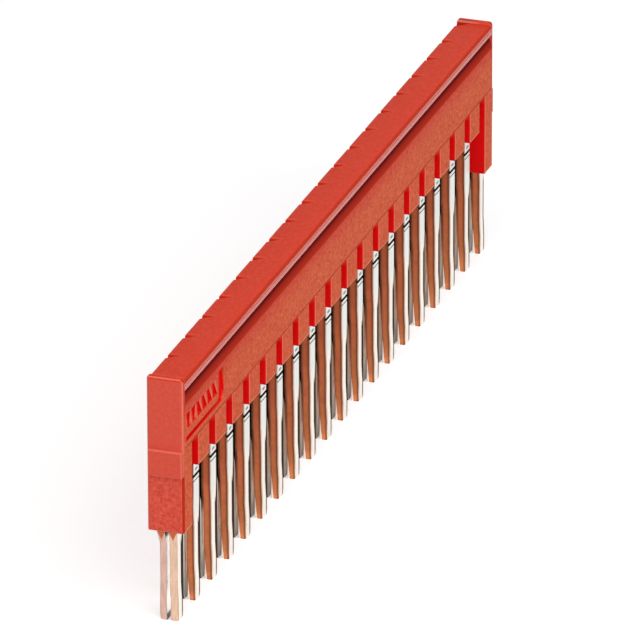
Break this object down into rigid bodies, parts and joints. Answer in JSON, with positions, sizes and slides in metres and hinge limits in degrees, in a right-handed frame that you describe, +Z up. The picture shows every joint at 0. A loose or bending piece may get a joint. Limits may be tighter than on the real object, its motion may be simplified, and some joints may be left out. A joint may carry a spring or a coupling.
{
  "type": "terminal block jumper",
  "caption": "Plug-in jumper for rail terminal blocks: a slim moulded bar with a lipped grip edge over a row of folded double-leaf contact pins that bridge neighbouring terminals.",
  "frame": {"origin": "middle of the pin row, at the pin tips", "axes": "X runs along the row, the front with the grip lip and the marking field faces -Y, Z points up from the pin tips to the top of the housing"},
  "size_m": [0.1018, 0.004, 0.0269],
  "materials": {
    "red_polyamide": "fine moulded grain, slightly hazy red",
    "plated_copper": "tin-plated rolled faces with bare copper cut edges"
  },
  "bodies": {
    "root": {"housing": "red_polyamide", "contact_comb": "plated_copper"}
  },
  "joints": []
}
